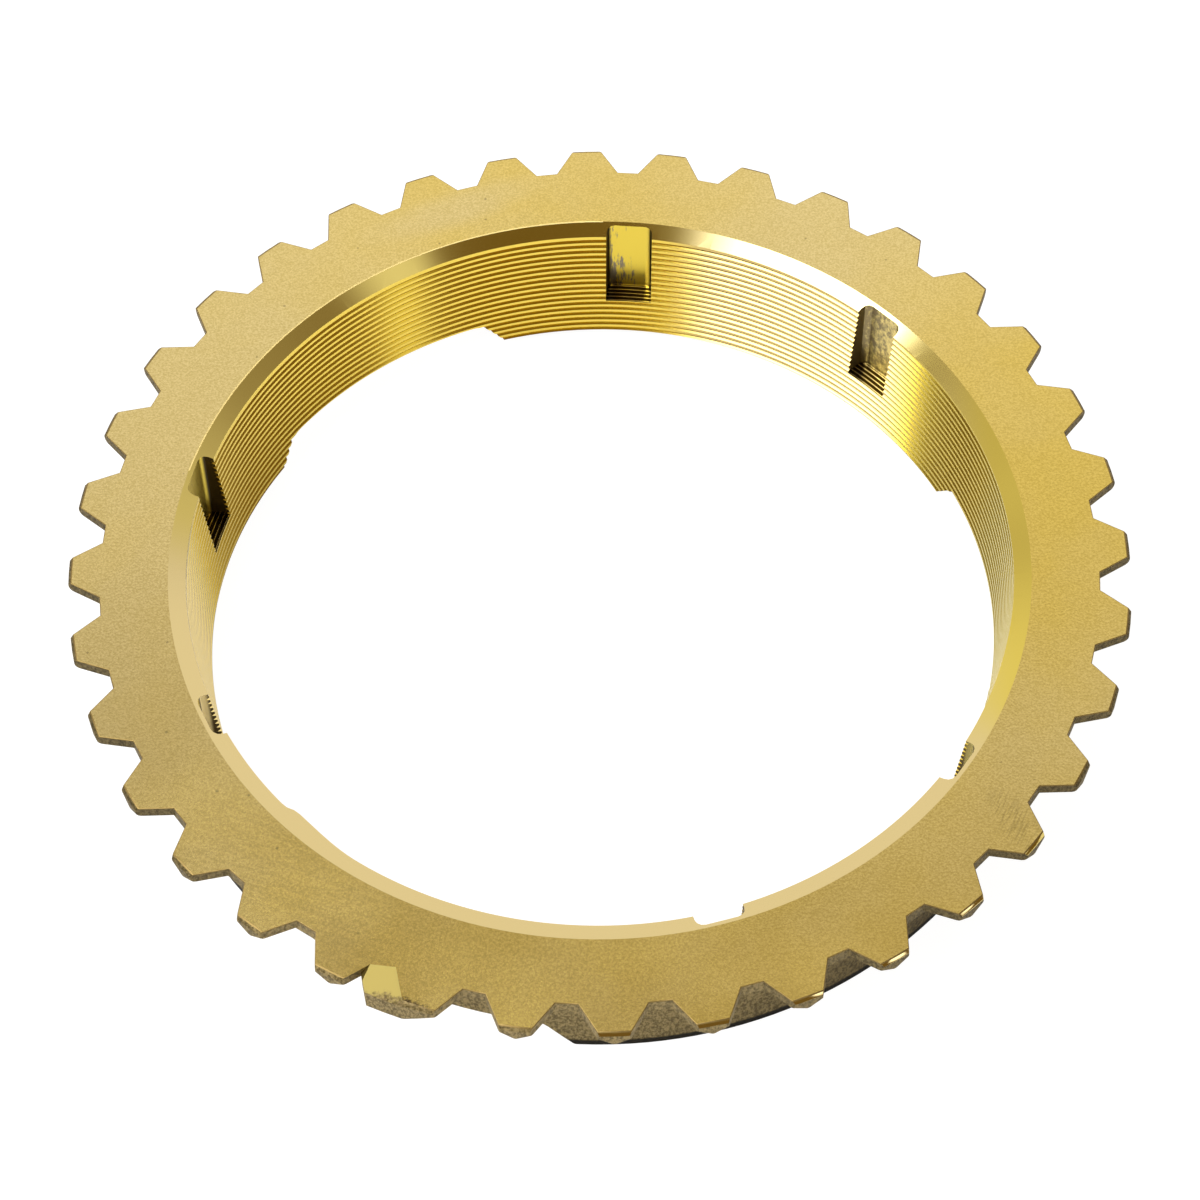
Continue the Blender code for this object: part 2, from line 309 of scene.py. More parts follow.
# Where the finishes begin and end, measured from the sizes of the solid
INDEX_REACH = 1.0 * MM
BREAK_REACH = 0.06 * MM
BREAK_DEPTH = 0.055 * MM
RIM_REACH = 0.5 * MM
CHAMFER_REACH = 0.02 * MM
THREAD_REACH = 0.05 * MM
SLOT_FOOT = 2.0 * MM
MILLED_REACH = 0.35 * MM

# How much of a face's normal points up, out, or along the rim
LEVEL = 0.999
NEARLY_LEVEL = 0.9
FACING = 0.7
HALF_FACING = 0.5
MILLED_SLOPE = 0.3
BREAK_SLOPE = 0.2

# Faces that meet at less than this are shaded as one
SMOOTH_ANGLE = math.radians(33.0)


def finish_of(centre, normal):
    """Which of the finishes a face has, from where it is and which way it faces."""
    radius, angle, z = centre.xy.length, angle_of(centre), centre.z
    up = normal.z
    out = (normal.x * centre.x + normal.y * centre.y) / max(radius, 1e-9)
    along = math.sqrt(max(0.0, 1.0 - out**2 - up**2))
    if up > LEVEL and z > HEIGHT - TOUCH:
        return "ground"
    if radius > ROOT_RADIUS - INDEX_REACH and INDEX_FROM < angle < INDEX_TO and up > HALF_FACING:
        return "index"
    if radius > MOUTH_RADIUS - BREAK_REACH and up > BREAK_SLOPE and z > HEIGHT - BREAK_DEPTH:
        return "edge" if radius > ROOT_RADIUS - RIM_REACH else "mouth_line"
    if up > NEARLY_LEVEL and z > CONE_TOP - CHAMFER_REACH and radius < MOUTH_RADIUS:
        return "turned"
    if radius < cone_radius(z) + THREAD_DEPTH + THREAD_REACH and along < FACING:
        return "thread"
    if radius < MOUTH_RADIUS and z > SLOT_FOOT:
        if up > FACING:
            return "ledge"
        return "recess" if along > FACING else "slot"
    milled = radius > TIP_RADIUS - MILLED_REACH and MILLED_FROM < angle < MILLED_TO
    return "turned" if milled and up > MILLED_SLOPE and out > MILLED_SLOPE else "forged"


def mark_finishes(mesh):
    """One face attribute for each finish. Two finishes meet at a sharp edge."""
    finishes = [finish_of(face.center, face.normal) for face in mesh.polygons]
    for finish in FINISHES:
        attribute = mesh.attributes.new(finish, "FLOAT", "FACE")
        values = np.array([1.0 if name == finish else 0.0 for name in finishes], np.float32)
        attribute.data.foreach_set("value", values)
    mesh.shade_smooth()
    shape = bmesh.new()
    shape.from_mesh(mesh)
    for edge in shape.edges:
        if len(edge.link_faces) != 2:
            continue
        one, two = (finishes[face.index] for face in edge.link_faces)
        edge.smooth = one == two and edge.calc_face_angle(0.0) < SMOOTH_ANGLE
    shape.to_mesh(mesh)
    shape.free()


def mark_places(mesh):
    """Point attributes: the depth in the thread's groove, and the way across the nearest oil slot in mm."""
    places = np.empty(len(mesh.vertices) * 3, np.float32)
    mesh.vertices.foreach_get("co", places)
    x, y, z = places.reshape(-1, 3).astype(float).T
    depth = (np.hypot(x, y) - cone_radius(z) - THREAD_LIFT) / THREAD_DEPTH
    away = (np.degrees(np.arctan2(y, x))[:, None] - SLOT_ANGLES + 180.0) % 360.0 - 180.0
    turn = np.radians(SLOT_ANGLES[np.abs(away).argmin(axis=1)])
    across = (y * np.cos(turn) - x * np.sin(turn)) / MM
    for name, values in (("groove", np.clip(depth, 0.0, 1.0)), ("across_slot", across)):
        attribute = mesh.attributes.new(name, "FLOAT", "POINT")
        attribute.data.foreach_set("value", values.astype(np.float32))


# A frame on the gear side is stretched this much along Z, so that height plays no part in it
ANY_HEIGHT = 1000.0
WHITE = (1.0, 1.0, 1.0, 1.0)


class Graph:
    """Short ways to add and join shader nodes."""

    def __init__(self, tree):
        self.tree = tree
        tree.nodes.clear()

    def add(self, kind, inputs=None, **settings):
        node = self.tree.nodes.new(kind)
        for name, value in settings.items():
            setattr(node, name, value)
        for name, value in (inputs or {}).items():
            self.set(node.inputs[name], value)
        return node

    def set(self, socket, value):
        if isinstance(value, bpy.types.NodeSocket):
            self.tree.links.new(value, socket)
        elif isinstance(value, bpy.types.Node):
            self.tree.links.new(value.outputs[0], socket)
        else:
            socket.default_value = value

    def math(self, operation, *values, clamp=False):
        node = self.add("ShaderNodeMath", dict(enumerate(values)), operation=operation, use_clamp=clamp)
        return node.outputs[0]

    def vector_math(self, operation, *values):
        return self.add("ShaderNodeVectorMath", dict(enumerate(values)), operation=operation).outputs

    def dot(self, one, two):
        return self.vector_math("DOT_PRODUCT", one, two)["Value"]

    def length(self, vector):
        return self.vector_math("LENGTH", vector)["Value"]

    def split(self, vector):
        return self.add("ShaderNodeSeparateXYZ", {0: vector}).outputs

    def attribute(self, name):
        return self.add("ShaderNodeAttribute", attribute_name=name).outputs["Fac"]

    def noise(self, vector, scale, detail, roughness):
        return self.add(
            "ShaderNodeTexNoise",
            {"Vector": vector, "Scale": scale, "Detail": detail, "Roughness": roughness},
        ).outputs["Fac"]

    def ramp(self, value, low, high, to_low=0.0, to_high=1.0):
        return self.add(
            "ShaderNodeMapRange",
            {"Value": value, "From Min": low, "From Max": high, "To Min": to_low, "To Max": to_high},
            interpolation_type="SMOOTHSTEP",
        ).outputs["Result"]

    def blend(self, factor, one, two):
        """A number between two others."""
        return self.add("ShaderNodeMix", {0: factor, 2: one, 3: two}, data_type="FLOAT").outputs[0]

    def mix(self, factor, one, two, blend_type="MIX"):
        """A colour between two others."""
        inputs = {0: factor, 6: one, 7: two}
        return self.add("ShaderNodeMix", inputs, data_type="RGBA", blend_type=blend_type).outputs[2]

    def tint(self, one, two):
        return self.mix(1.0, one, two, "MULTIPLY")

    def shadow(self, colour, factor, strength):
        """Darkens a colour by a share of itself."""
        grey = 1.0 - strength
        return self.tint(colour, self.mix(factor, WHITE, (grey, grey, grey, 1.0)))

    def scaled(self, vector, scale):
        return self.add("ShaderNodeMapping", {"Vector": vector, "Scale": scale}).outputs[0]

    def placed(self, vector, centre, size, turn):
        """A frame on the gear side: its centre, how long its two units are, and its turn."""
        return self.add(
            "ShaderNodeMapping",
            {
                "Vector": vector,
                "Location": (*centre, 0.0),
                "Rotation": (0.0, 0.0, math.radians(turn)),
                "Scale": (*size, ANY_HEIGHT),
            },
            vector_type="TEXTURE",
        ).outputs[0]


# The brass works in mm. A noise is given by its scale, detail and roughness. A range is where a
# ramp starts and where it ends, which may be lower. UPRIGHT stretches a noise along Z.
UPRIGHT = (1.0, 1.0, 0.6)

# Sectors of the bore, in degrees: middle, half angle, fade. One mirrors the key light, one is in shade,
# two show little of the thread, in one the grooves have darker painted shade, and two hold slots
# with a lit side wall.
GLARE = (57.0, 14.0, 9.0)
SHADE = (10.0, 20.0, 16.0)
SMOOTH_SIDES = ((190.0, 14.0, 6.0), (357.0, 12.0, 8.0))
LEFT_BACK = (155.0, 11.0, 9.0)
PALE_SLOT = (204.15, 6.0, 4.0)
OLIVE_SLOT = (324.15, 6.0, 4.0)

# A spot is full out to the first share of its half width, and gone at the second
SPOT_EDGE = (0.3, 1.0)


def spot(g, mm, centre, size, turn, strength):
    """A soft-edged ellipse on the gear side: its strength inside, 0 outside."""
    return g.ramp(g.length(g.placed(mm, centre, size, turn)), *SPOT_EDGE, strength, 0.0)


def without_height(g, mm):
    return g.vector_math("MULTIPLY", mm, (1.0, 1.0, 0.0))[0]


def radius_of(g, mm):
    return g.length(without_height(g, mm))


def in_sector(g, mm, sector):
    """1 in a sector of the ring, 0 elsewhere: its middle angle, half angle, and how far its edge fades."""
    angle, half, fade = (math.radians(value) for value in sector)
    way = g.vector_math("NORMALIZE", without_height(g, mm))[0]
    along = g.dot(way, (math.cos(angle), math.sin(angle), 0.0))
    return g.ramp(along, math.cos(half + fade), math.cos(half))


# The gear side: its colours, and its speckle
GROUND = (0.73, 0.615, 0.293, 1.0)
GROUND_DEEP = (0.58, 0.48, 0.196, 1.0)
GROUND_NOISE = (6.5, 2.0, 0.6)
GROUND_RANGE = (0.3, 0.72)

# Spots on the gear side: centre and half widths in mm, turn of the long way, strength
YELLOWED = (1.0, 0.93, 0.5, 1.0)
YELLOW_SPOTS = (
    ((35.0, 7.0), (26.0, 26.0), 0.0, 0.88),
    ((-5.0, 35.0), (24.0, 24.0), 0.0, 0.58),
    ((4.0, -35.0), (50.0, 50.0), 0.0, 0.6),
    ((-10.0, 31.5), (9.0, 2.2), 22.0, -0.45),
)
YELLOW_NOISE = (0.15, 3.0, 0.5)
YELLOW_RANGE = (0.3, 0.7)
YELLOW_SWING = 0.12
# Painted shade over the front left of the gear side: its spot, and how much it darkens
PAINTED_SHADE_SPOT = ((-22.0, -22.0), (40.0, 30.0), 0.0, 1.0)
PAINTED_SHADE_STRENGTH = 0.1

# Marks inside a spot: their length and width in mm, their turn, the detail of their noise, the
# range of it that shows, and how dark they are
MARK_ROUGHNESS = 0.5
BRUSHED_SPOT = ((-22.0, -26.0), (13.0, 13.0), 0.0, 1.0)
BRUSHED_MARKS = ((4.0, 0.28), -20.5, 2.0, (0.4, 0.62), 0.07)
CHATTER_SPOT = ((27.6, -22.6), (5.2, 1.9), -55.0, 1.0)
CHATTER_MARKS = ((1.6, 0.13), 62.0, 1.0, (0.45, 0.62), 0.2)

# Pits: cells per mm, how far from a cell's middle a pit fades, the share of cells that have none,
# and how dark a pit is
PIT_SCALE = 0.55
PIT_RANGE = (0.075, 0.04)
PIT_FREE_SHARE = 0.55
PIT_SHADOW = 0.35


def yellowing(g, mm):
    """How yellow the gear side is: a few wide spots and a faint cloud."""
    yellow = 0.0
    for values in YELLOW_SPOTS:
        yellow = g.math("ADD", yellow, spot(g, mm, *values))
    cloud = g.ramp(g.noise(mm, *YELLOW_NOISE), *YELLOW_RANGE, -YELLOW_SWING, YELLOW_SWING)
    return g.math("ADD", yellow, cloud, clamp=True)


def marked(g, mm, colour, place, marks):
    """A colour with long fine marks over one spot of the gear side."""
    size, turn, detail, shown, strength = marks
    lines = g.noise(g.placed(mm, (0.0, 0.0), size, turn), 1.0, detail, MARK_ROUGHNESS)
    return g.shadow(colour, g.math("MULTIPLY", spot(g, mm, *place), g.ramp(lines, *shown)), strength)


def pits(g, mm):
    cells = g.add("ShaderNodeTexVoronoi", {"Vector": mm, "Scale": PIT_SCALE})
    chosen = g.add("ShaderNodeSeparateColor", {0: cells.outputs["Color"]}).outputs[0]
    near = g.ramp(cells.outputs["Distance"], *PIT_RANGE)
    return g.math("MULTIPLY", near, g.math("GREATER_THAN", chosen, PIT_FREE_SHARE))


def ground_colour(g, mm):
    """The lapped gear side: fine speckle, yellowed spots, painted shade front left, brush and chatter
    marks, small pits.
    """
    colour = g.mix(g.ramp(g.noise(mm, *GROUND_NOISE), *GROUND_RANGE), GROUND_DEEP, GROUND)
    colour = g.tint(colour, g.mix(yellowing(g, mm), WHITE, YELLOWED))
    colour = g.shadow(colour, spot(g, mm, *PAINTED_SHADE_SPOT), PAINTED_SHADE_STRENGTH)
    colour = marked(g, mm, colour, BRUSHED_SPOT, BRUSHED_MARKS)
    colour = marked(g, mm, colour, CHATTER_SPOT, CHATTER_MARKS)
    return g.shadow(colour, pits(g, mm), PIT_SHADOW)


# The thread, with painted shade in its grooves, and the tints of the sectors of the bore: painted light
# in the glare and painted shade in the shade
THREAD = (0.8, 0.62, 0.17, 1.0)
THREAD_SMOOTH = (0.76, 0.63, 0.27, 1.0)
THREAD_IN_GLARE = (0.77, 0.76, 1.1, 1.0)
THREAD_IN_SHADE = (0.68, 0.7, 0.76, 1.0)
# Painted shade in the grooves: a deeper yellow, darker still in the glare and at the left back
GROOVE_SHADE = (1.0, 0.98, 0.35, 1.0)
GROOVE_SHADE_IN_GLARE = (0.3, 0.28, 0.19, 1.0)
GROOVE_SHADE_IN_BACK = (0.55, 0.5, 0.3, 1.0)

# Painted reflection: the bore is yellower than the brass outside, but for its front and the glare,
# and once more at the far right. FRONT_WAY points to the front, and a little to the left.
BORE_REFLECTION = (1.0, 1.0, 0.62, 1.0)
FRONT_WAY = (-0.292, -0.956, 0.0)
FRONT_RANGE = (3.5, 9.5)
RIGHT_REFLECTION = (1.0, 0.98, 0.64, 1.0)
RIGHT_RANGE = (25.0, 28.5)


def thread_colour(g, mm):
    """The threaded cone: bright crests and grooves with painted shade, tinted by what each sector mirrors
    as painted light and shade.
    """
    glare = in_sector(g, mm, GLARE)
    groove_shade = g.mix(glare, GROOVE_SHADE, GROOVE_SHADE_IN_GLARE)
    groove_shade = g.mix(in_sector(g, mm, LEFT_BACK), groove_shade, GROOVE_SHADE_IN_BACK)
    colour = g.tint(THREAD, g.mix(g.attribute("groove"), WHITE, groove_shade))
    for sector in SMOOTH_SIDES:
        colour = g.mix(in_sector(g, mm, sector), colour, THREAD_SMOOTH)
    colour = g.tint(colour, g.mix(glare, WHITE, THREAD_IN_GLARE))
    return g.tint(colour, g.mix(in_sector(g, mm, SHADE), WHITE, THREAD_IN_SHADE))


def bore_reflection(g, mm):
    """What the light in the bore does to the brass on each side of it."""
    front = g.ramp(g.dot(mm, FRONT_WAY), *FRONT_RANGE)
    tint = g.mix(g.math("MAXIMUM", front, in_sector(g, mm, GLARE)), BORE_REFLECTION, WHITE)
    right = g.ramp(g.split(mm)["X"], *RIGHT_RANGE)
    return g.tint(tint, g.mix(right, WHITE, RIGHT_REFLECTION))


# Oil slots. The grey patches and the mottle lean to one side of a slot, by a share for each mm across it.
# A fall range lets the patches grow downwards: from one height to another, and from one value to another.
SLOT = (0.76, 0.6, 0.08, 1.0)
SLOT_GREY = (0.24, 0.205, 0.14, 1.0)
# Painted shade down each side of a slot's back where it meets the walls, and its range across in mm
SLOT_CORNER_SHADE = (0.03, 0.02, 0.006, 1.0)
SLOT_CORNER_SHADE_RANGE = (1.4, 1.58)
# Painted reflection of the glare on a slot's back, light and dark; the dark one also paints the walls there
SLOT_IN_GLARE = (0.78, 0.65, 0.25, 1.0)
SLOT_IN_GLARE_DARK = (0.24, 0.195, 0.1, 1.0)
PATCH_STRETCH = (2.6, 2.6, 0.5)
PATCH_NOISE = (1.0, 4.0, 0.75)
PATCH_SIDE = 0.08
PATCH_FALL = (9.5, 5.0, -0.05, 0.07)
PATCH_RANGE = (0.57, 0.68)
MOTTLE_NOISE = (2.6, 4.0, 0.7)
MOTTLE_SIDE = 0.07
MOTTLE_RANGE = (0.36, 0.66)

# Side walls and floors of the slots, dark with painted shade. The walls are lit outside this range
# of radius, as painted light, and the cutter's lines on the floors are real marks with painted
# highlights.
RECESS_SHADE = (0.1, 0.07, 0.02, 1.0)
RECESS_PALE = (1.0, 0.88, 0.5, 1.0)
RECESS_OLIVE = (0.42, 0.36, 0.12, 1.0)
RECESS_RANGE = (28.8, 29.1)
LEDGE_SHADE = (0.03, 0.02, 0.006, 1.0)
LEDGE_LINE_HIGHLIGHT = (0.8, 0.7, 0.4, 1.0)
LEDGE_RANGE = (0.6, 0.95)
CUTTER_LINES = 0.34


def slot_colour(g, mm):
    """The back of an oil slot: bright brass, grey in patches towards one side, with painted shade down
    each side where it meets the walls. In the glare it is a mottled painted reflection of that light."""
    across = g.attribute("across_slot")
    patches = g.noise(g.scaled(mm, PATCH_STRETCH), *PATCH_NOISE)
    patches = g.math("ADD", patches, g.math("MULTIPLY", across, PATCH_SIDE))
    patches = g.math("ADD", patches, g.ramp(g.split(mm)["Z"], *PATCH_FALL))
    bright = g.mix(g.ramp(patches, *PATCH_RANGE), SLOT, SLOT_GREY)
    bright = g.mix(g.ramp(g.math("ABSOLUTE", across), *SLOT_CORNER_SHADE_RANGE), bright, SLOT_CORNER_SHADE)
    mottle = g.noise(g.scaled(mm, UPRIGHT), *MOTTLE_NOISE)
    mottle = g.math("SUBTRACT", mottle, g.math("MULTIPLY", across, MOTTLE_SIDE))
    glare_copy = g.mix(g.ramp(mottle, *MOTTLE_RANGE), SLOT_IN_GLARE_DARK, SLOT_IN_GLARE)
    return g.mix(in_sector(g, mm, GLARE), bright, glare_copy)


def recess_colour(g, mm):
    """The side walls of an oil slot: dark with painted shade, but painted pale where they face the light.
    """
    colour = g.mix(in_sector(g, mm, GLARE), RECESS_SHADE, SLOT_IN_GLARE_DARK)
    outer = g.ramp(radius_of(g, mm), *RECESS_RANGE)
    for sector, lit in ((PALE_SLOT, RECESS_PALE), (OLIVE_SLOT, RECESS_OLIVE)):
        colour = g.mix(g.math("MULTIPLY", in_sector(g, mm, sector), outer), colour, lit)
    return colour


def ledge_colour(g, mm):
    """The floor of an oil slot, dark with painted shade, with the cutter's real lines as painted
    highlights.
    """
    wave = g.math("SINE", g.math("MULTIPLY", radius_of(g, mm), 2.0 * math.pi / CUTTER_LINES))
    return g.mix(g.ramp(wave, *LEDGE_RANGE), LEDGE_SHADE, LEDGE_LINE_HIGHLIGHT)


# The wall and the tooth spaces get painted shade to the right, to the far left and at the foot.
# Each shadow is a range of X or Z, and a strength.
FORGED = (0.4, 0.32, 0.15, 1.0)
FORGED_DARK = (0.135, 0.105, 0.045, 1.0)
FORGED_NOISE = (4.5, 3.0, 0.8)
FORGED_RANGE = (0.36, 0.64)
WALL_SHADOWS = (
    ("X", (2.0, 26.0), 0.5),
    ("X", (-20.0, -31.0), 0.45),
    ("Z", (1.15, 0.8), 0.95),
)


def forged_colour(g, mm):
    """The wall and the tooth spaces: grey-brown speckle, painted shade right and far left, and black
    painted shade along the foot.
    """
    speckle = g.noise(g.scaled(mm, UPRIGHT), *FORGED_NOISE)
    colour = g.mix(g.ramp(speckle, *FORGED_RANGE), FORGED_DARK, FORGED)
    for axis, reach, strength in WALL_SHADOWS:
        colour = g.shadow(colour, g.ramp(g.split(mm)[axis], *reach), strength)
    return colour


# Other finishes, and the worn place on the index block and the tooth beside it, which looks forged
EDGE = (0.25, 0.18, 0.065, 1.0)
# The mouth's broken edge is a real edge; its bright colour is a painted highlight
MOUTH_HIGHLIGHT = (0.95, 0.8, 0.35, 1.0)
TURNED = (0.62, 0.52, 0.26, 1.0)
INDEX = (0.38, 0.315, 0.1, 1.0)
WORN_TINT = (0.62, 0.6, 0.62, 1.0)
WORN_SPOT = ((-14.1, -34.8), (4.2, 1.7), -22.0, 1.0)
WORN_NOISE = (2.2, 4.0, 0.75)
WORN_UNEVEN = 2.0
WORN_RANGE = (1.3, 1.85)


def worn_place(g, mm):
    """1 where the top is worn, 0 elsewhere, with a ragged edge between them."""
    uneven = g.math("MULTIPLY", g.noise(mm, *WORN_NOISE), WORN_UNEVEN)
    return g.ramp(g.math("ADD", spot(g, mm, *WORN_SPOT), uneven), *WORN_RANGE)


def brass_colour(g, mm):
    """The colour of each finish, laid over that of the gear side."""
    tint = bore_reflection(g, mm)
    worn = worn_place(g, mm)
    forged = forged_colour(g, mm)
    worn_colour = g.tint(forged, WORN_TINT)
    colour = g.mix(worn, ground_colour(g, mm), worn_colour)
    for finish, finish_colour in (
        ("edge", g.mix(worn, EDGE, worn_colour)),
        ("mouth_line", MOUTH_HIGHLIGHT),
        ("turned", g.tint(TURNED, tint)),
        ("thread", g.tint(thread_colour(g, mm), tint)),
        ("slot", slot_colour(g, mm)),
        ("recess", recess_colour(g, mm)),
        ("ledge", ledge_colour(g, mm)),
        ("index", g.mix(worn, INDEX, worn_colour)),
        ("forged", forged),
    ):
        colour = g.mix(g.attribute(finish), colour, finish_colour)
    return colour


# Roughness of the gear side, and the heights in mm of its grain and of the forged faces' dents
SHEEN_NOISE = (0.12, 3.0, 0.5)
SHEEN_RANGE = (0.3, 0.7)
GROUND_ROUGHNESS = (0.17, 0.23)
GRAIN_HEIGHT = 0.006
DENT_NOISE = (3.0, 4.0, 0.8)
DENT_HEIGHT = 0.07
BUMP_DISTANCE = 1.0 * MM


def brass_roughness(g, mm):
    roughness = g.ramp(g.noise(mm, *SHEEN_NOISE), *SHEEN_RANGE, *GROUND_ROUGHNESS)
    for finish, value in ROUGHNESS.items():
        roughness = g.blend(g.attribute(finish), roughness, value)
    return roughness


def brass_bumps(g, mm):
    grain = g.math("MULTIPLY", g.noise(mm, *GROUND_NOISE), g.attribute("ground"))
    dents = g.math("MULTIPLY", g.noise(g.scaled(mm, UPRIGHT), *DENT_NOISE), g.attribute("forged"))
    grain = g.math("MULTIPLY", grain, GRAIN_HEIGHT)
    dents = g.math("MULTIPLY", dents, DENT_HEIGHT)
    height = g.math("ADD", grain, dents)
    return g.add("ShaderNodeBump", {"Height": height, "Strength": 1.0, "Distance": BUMP_DISTANCE})


def brass_material():
    material = bpy.data.materials.new("brass")
    material.use_nodes = True
    g = Graph(material.node_tree)
    place = g.add("ShaderNodeTexCoord").outputs["Object"]
    mm = g.vector_math("MULTIPLY", place, (1.0 / MM,) * 3)[0]
    shader = g.add(
        "ShaderNodeBsdfPrincipled",
        {
            "Base Color": brass_colour(g, mm),
            "Roughness": brass_roughness(g, mm),
            "Normal": brass_bumps(g, mm),
            "Metallic": 1.0,
        },
    )
    g.add("ShaderNodeOutputMaterial", {"Surface": shader})
    return material


def dressed_ring():
    """The threaded ring with its finishes marked and the brass on it."""
    item = threaded_ring()
    swell_lip(item.data)
    mark_finishes(item.data)
    mark_places(item.data)
    item.data.materials.clear()
    item.data.materials.append(brass_material())
    weighted = item.modifiers.new("weighted_normals", "WEIGHTED_NORMAL")
    weighted.keep_sharp = True
    return item


# Studio: a dim warm ceiling, white light that grows towards the back in steps of a range and a
# gain, and soft boxes over the ring
CEILING_LIGHT = 0.24
CEILING_COLOUR = (1.0, 0.62, 0.17, 1.0)
BACK_WAY = (0.1, 0.995, 0.0)
BACK_STEPS = ((0.12, 0.43, 0.27), (0.4, 0.65, 0.7))

# A box fills the directions that lean far enough each of its ways: the way, and the share of it
# where the edge of the box starts to fade in and where the box is full
KEY_BOX = 6.5
KEY_WAYS = (
    ((-0.959, 0.256, -0.124), -0.02, 0.1),
    ((0.365, -0.839, 0.404), 0.0, 0.05),
    ((0.0, -1.0, 0.0), -0.38, -0.3),
    ((0.0, 1.0, 0.0), -0.6, -0.5),
    ((0.0, 0.0, 1.0), 0.4, 0.5),
)
STRIP_BOX = 1.0
STRIP_WAYS = (
    ((0.851, 0.476, -0.223), -0.01, 0.02),
    ((-0.802, -0.522, 0.29), -0.055, 0.02),
    ((0.0, -1.0, 0.0), -0.3, -0.2),
    ((0.0, 0.0, 1.0), 0.4, 0.5),
)
LEFT_BOX = 0.36
LEFT_WAYS = (
    ((-1.0, 0.0, 0.0), 0.2, 0.28),
    ((0.0, 1.0, 0.0), 0.27, 0.4),
    ((0.0, -1.0, 0.0), -0.57, -0.48),
    ((0.0, 0.0, 1.0), 0.6, 0.7),
)
RIGHT_BOX = 0.15
RIGHT_WAYS = (
    ((1.0, 0.0, 0.0), 0.2, 0.28),
    ((0.0, 1.0, 0.0), 0.34, 0.41),
    ((0.0, -1.0, 0.0), -0.53, -0.46),
    ((0.0, 0.0, 1.0), 0.6, 0.7),
)
EDGE_BOX = 2.5
EDGE_WAYS = (((0.744, -0.573, 0.342), 0.96, 0.99),)

# The right and the left side of the studio are darker, from a little behind the ring to the front
SIDE_DARK = -0.14
RIGHT_SIDE_WAYS = (((1.0, 0.0, 0.0), 0.3, 0.7), ((0.0, -1.0, 0.0), -0.45, -0.2))
LEFT_SIDE_WAYS = (((-1.0, 0.0, 0.0), 0.5, 0.8), ((0.0, -1.0, 0.0), -0.45, -0.2))
BOXES = (
    (KEY_BOX, KEY_WAYS),
    (STRIP_BOX, STRIP_WAYS),
    (LEFT_BOX, LEFT_WAYS),
    (RIGHT_BOX, RIGHT_WAYS),
    (SIDE_DARK, RIGHT_SIDE_WAYS),
    (SIDE_DARK, LEFT_SIDE_WAYS),
    (EDGE_BOX, EDGE_WAYS),
)


def studio_light(g, direction):
    """The light of the back wall and of the boxes, in one direction."""
    light = 0.0
    for low, high, gain in BACK_STEPS:
        light = g.math("ADD", light, g.ramp(g.dot(direction, BACK_WAY), low, high, 0.0, gain))
    for strength, ways in BOXES:
        amount = strength
        for way, low, high in ways:
            amount = g.math("MULTIPLY", amount, g.ramp(g.dot(direction, way), low, high))
        light = g.math("ADD", light, amount)
    return g.math("MAXIMUM", light, 0.0)


def studio_world():
    """The studio lights the ring, and the camera sees white behind it."""
    world = bpy.data.worlds.new("studio")
    world.use_nodes = True
    g = Graph(world.node_tree)
    light = studio_light(g, g.add("ShaderNodeTexCoord").outputs["Generated"])
    ceiling = g.add("ShaderNodeBackground", {"Color": CEILING_COLOUR, "Strength": CEILING_LIGHT})
    boxes = g.add("ShaderNodeBackground", {"Color": WHITE, "Strength": light})
    studio = g.add("ShaderNodeAddShader", {0: ceiling, 1: boxes})
    white = g.add("ShaderNodeBackground", {"Color": WHITE, "Strength": 1.0})
    seen = g.add("ShaderNodeLightPath").outputs["Is Camera Ray"]
    mixed = g.add("ShaderNodeMixShader", {0: seen, 1: studio, 2: white})
    g.add("ShaderNodeOutputWorld", {"Surface": mixed})
    bpy.context.scene.world = world


# Floor: pale, with a share of plain white light where it is seen and where the ring mirrors it
FLOOR_SIZE = 3.0
FLOOR_COLOUR = (0.9, 0.9, 0.9, 1.0)
FLOOR_WHITE = 1.2
FLOOR_SHARE_SEEN = 0.8
FLOOR_SHARE_MIRRORED = 0.25


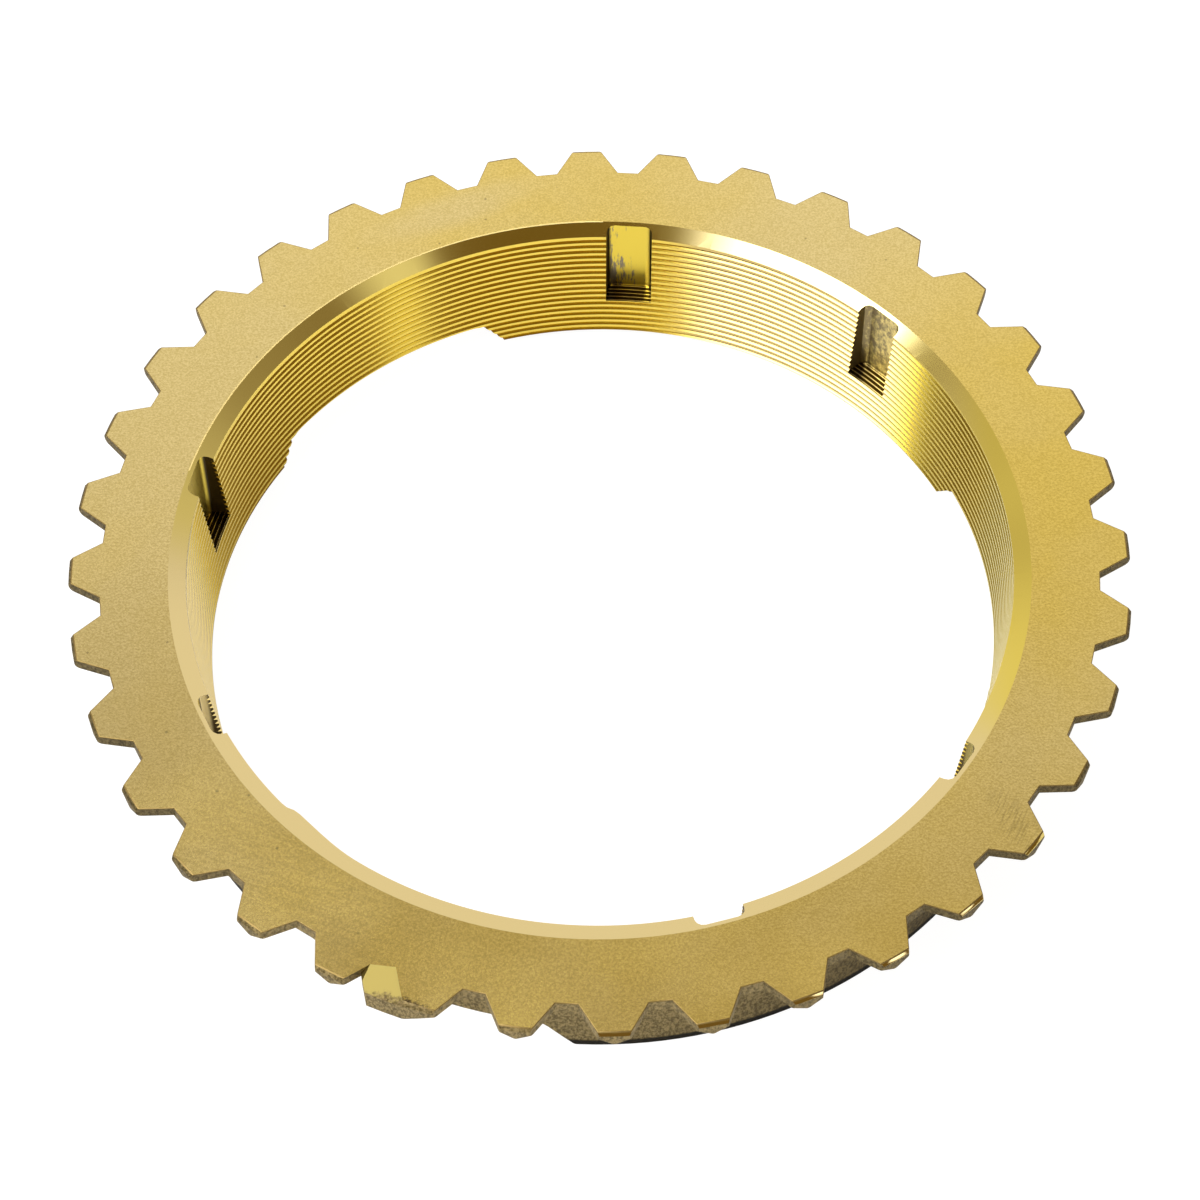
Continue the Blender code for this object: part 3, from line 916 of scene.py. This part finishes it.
def floor_material():
    material = bpy.data.materials.new("pale_floor")
    material.use_nodes = True
    g = Graph(material.node_tree)
    path = g.add("ShaderNodeLightPath").outputs
    mirrored = g.math("ADD", path["Is Glossy Ray"], path["Is Transmission Ray"], clamp=True)
    share = g.math("MULTIPLY", path["Is Camera Ray"], FLOOR_SHARE_SEEN)
    share = g.math("ADD", share, g.math("MULTIPLY", mirrored, FLOOR_SHARE_MIRRORED), clamp=True)
    diffuse = g.add("ShaderNodeBsdfDiffuse", {"Color": FLOOR_COLOUR})
    white = g.add("ShaderNodeEmission", {"Color": WHITE, "Strength": FLOOR_WHITE})
    both = g.add("ShaderNodeMixShader", {0: share, 1: diffuse, 2: white})
    g.add("ShaderNodeOutputMaterial", {"Surface": both})
    return material


def add_floor():
    half = FLOOR_SIZE / 2
    corners = [(-half, -half, 0), (half, -half, 0), (half, half, 0), (-half, half, 0)]
    mesh = bpy.data.meshes.new("floor")
    mesh.from_pydata(corners, [], [(0, 1, 2, 3)])
    mesh.materials.append(floor_material())
    item = bpy.data.objects.new("floor", mesh)
    bpy.context.scene.collection.objects.link(item)


# Camera, solved from the photograph's view of the toothed face. It aims near the middle of that face.
CAMERA_ELEVATION = math.radians(56.682)
CAMERA_AZIMUTH = math.radians(-1.0)
CAMERA_ROLL = math.radians(-0.609)
CAMERA_DISTANCE = 255.22 * MM
CAMERA_RIGHT = 0.033 * MM
CAMERA_UP = -2.982 * MM
CAMERA_LENS = 109.836
CAMERA_SENSOR = 36.0
CAMERA_CLIP = 0.01


def add_camera():
    azimuth, elevation, roll = CAMERA_AZIMUTH, CAMERA_ELEVATION, CAMERA_ROLL
    level = math.cos(elevation)
    back = Vector((math.sin(azimuth) * level, -math.cos(azimuth) * level, math.sin(elevation)))
    right = Vector((math.cos(azimuth), math.sin(azimuth), 0.0))
    up = back.cross(right)
    rolled_right = math.cos(roll) * right + math.sin(roll) * up
    rolled_up = math.cos(roll) * up - math.sin(roll) * right
    data = bpy.data.cameras.new("camera")
    data.lens = CAMERA_LENS
    data.sensor_width = CAMERA_SENSOR
    data.clip_start = CAMERA_CLIP
    item = bpy.data.objects.new("camera", data)
    bpy.context.scene.collection.objects.link(item)
    place = Vector((0.0, 0.0, HEIGHT)) + CAMERA_RIGHT * rolled_right + CAMERA_UP * rolled_up
    place += CAMERA_DISTANCE * back
    turn = Matrix((rolled_right, rolled_up, back)).transposed().to_4x4()
    item.matrix_world = Matrix.Translation(place) @ turn
    bpy.context.scene.camera = item


ring = dressed_ring()
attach(ring, "root")
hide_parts("synchronizer_ring")

add_floor()
studio_world()
add_camera()
bpy.context.scene.view_settings.view_transform = "Standard"
